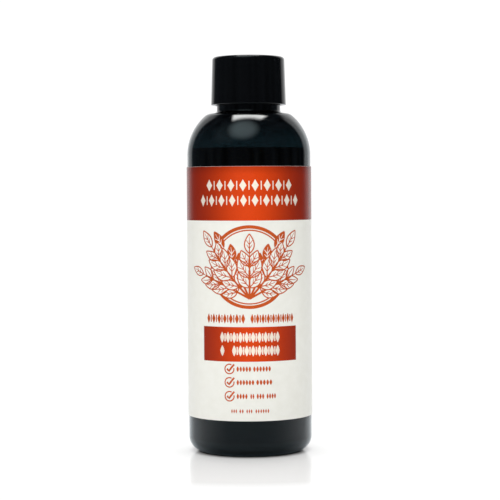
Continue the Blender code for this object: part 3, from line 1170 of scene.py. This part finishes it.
def glow(world, direction, azimuth, elevation, full, edge, colour):
    """A round soft light in the world, full within one angle and gone at another."""
    across = math.radians(azimuth)
    up = math.radians(elevation)
    towards = (math.sin(across) * math.cos(up), -math.cos(across) * math.cos(up), math.sin(up))
    inputs = {0: direction, 1: towards}
    dot = add_node(world, "ShaderNodeVectorMath", inputs, operation="DOT_PRODUCT")
    limits = (math.cos(math.radians(edge)), math.cos(math.radians(full)))
    return scaled_colour(world, colour, smooth_range(world, dot.outputs["Value"], *limits, 0, 1))


def backdrop_light(world, x, y, z):
    """A white backdrop behind the bottle, dimmer towards its upright edges, under a dark ceiling."""
    turned_right = math_node(world, "SUBTRACT", math_node(world, "ARCTAN2", x, y), BACKDROP_TURN)
    azimuth = math_node(world, "ABSOLUTE", turned_right)
    wide = smooth_range(world, azimuth, *BACKDROP_EDGE, 0, 1)
    bright = smooth_range(world, azimuth, *BACKDROP_DIM, BACKDROP_DIM_LEVEL, 1)
    low = smooth_range(world, z, *BACKDROP_TOP, 0, 1)
    level = math_node(world, "MULTIPLY", math_node(world, "MULTIPLY", wide, bright), low)
    return scaled_colour(world, (1, 1, 1), level)


def overhead_light(world, x, y, z):
    """A softbox overhead that leans as it goes back, with a soft front edge and bowed long sides."""
    height = math_node(world, "MAXIMUM", z, LEAST_HEIGHT)
    back = math_node(world, "DIVIDE", y, height)
    right = math_node(world, "ADD", math_node(world, "DIVIDE", x, height), OVERHEAD_SHIFT)
    lean = math_node(world, "MULTIPLY", back, OVERHEAD_LEAN)
    skewed = math_node(world, "SUBTRACT", right, lean)
    middle = smooth_range(world, math_node(world, "ABSOLUTE", skewed), *OVERHEAD_SIDE, 0, 1)
    bow = math_node(world, "MULTIPLY", skewed, skewed)
    front_bow = math_node(world, "MULTIPLY", bow, OVERHEAD_FRONT_BOW)
    near = smooth_range(world, math_node(world, "ADD", back, front_bow), *OVERHEAD_FRONT, 0, 1)
    far = smooth_range(world, math_node(world, "SUBTRACT", back, bow), *OVERHEAD_BACK, 0, 1)
    shape = math_node(world, "MULTIPLY", math_node(world, "MULTIPLY", near, far), middle)
    return scaled_colour(world, OVERHEAD_COLOUR, shape)


def room_light(world, direction):
    """The dim room in front of the bottle, a little uneven from side to side."""
    streaks = stretched_noise(world, direction, ROOM_STREAKS, 1, ROOM_STRETCH)
    return scaled_colour(world, ROOM, scaled_noise(world, streaks, *ROOM_RANGE))


def make_world():
    """White to the camera, soft grey to matt surfaces, and a lit studio to reflections."""
    world = bpy.data.worlds.new("studio")
    bpy.context.scene.world = world
    world.cycles.sampling_method = "NONE"
    world.use_nodes = True
    world.node_tree.nodes.clear()
    direction = add_node(world, "ShaderNodeTexCoord").outputs["Generated"]
    axes = split_axes(world, direction)
    total = backdrop_light(world, *axes)
    parts = [
        overhead_light(world, *axes),
        room_light(world, direction),
        glow(world, direction, *KEY_GLOW),
        glow(world, direction, *SIDE_GLOW),
    ]
    for part in parts:
        inputs = {0: total, 1: part}
        total = add_node(world, "ShaderNodeVectorMath", inputs, operation="ADD").outputs["Vector"]
    path = add_node(world, "ShaderNodeLightPath")
    for ray, level in (("Is Diffuse Ray", SKY_FOR_MATT), ("Is Camera Ray", WHITE_SEEN)):
        inputs = {"Factor": path.outputs[ray], "A": total, "B": (level, level, level)}
        total = add_node(world, "ShaderNodeMix", inputs, data_type="VECTOR").outputs["Result"]
    background = add_node(world, "ShaderNodeBackground", {"Color": total})
    add_node(world, "ShaderNodeOutputWorld", {"Surface": background.outputs["Background"]})


def softbox(name, place, aim, width, height, brightness):
    """A rectangular light of the given brightness. Reflections see the world's lights instead."""
    light = bpy.data.lights.new(name, "AREA")
    light.shape = "RECTANGLE"
    light.size = width
    light.size_y = height
    light.energy = brightness * math.pi * width * height
    holder = bpy.data.objects.new(name, light)
    bpy.context.scene.collection.objects.link(holder)
    holder.location = place
    away = Vector(place) - Vector(aim)
    holder.rotation_euler = away.to_track_quat("Z", "Y").to_euler()
    holder.visible_camera = False
    holder.visible_glossy = False
    holder.visible_transmission = False


def make_lights():
    softbox("overhead_box", *OVERHEAD_BOX)
    softbox("front_fill", *FRONT_FILL)


def make_camera():
    camera = bpy.data.cameras.new("camera")
    camera.lens = CAMERA_LENS
    camera.sensor_width = CAMERA_SENSOR
    camera.clip_start = CAMERA_CLIP
    holder = bpy.data.objects.new("camera", camera)
    bpy.context.scene.collection.objects.link(holder)
    turn = Matrix.Rotation(math.radians(CAMERA_YAW), 4, "Z")
    tilt = Matrix.Rotation(math.radians(90 + CAMERA_PITCH), 4, "X")
    roll = Matrix.Rotation(math.radians(CAMERA_ROLL), 4, "Z")
    stand = Matrix.Translation((0, -CAMERA_DISTANCE, CAMERA_HEIGHT))
    holder.matrix_world = stand @ turn @ tilt @ roll
    bpy.context.scene.camera = holder


make_bottle()
make_cap()
make_liner()
make_plug()
dress_liquid()
make_label()
make_floor()
make_world()
make_lights()
make_camera()
bpy.context.scene.view_settings.view_transform = "Standard"
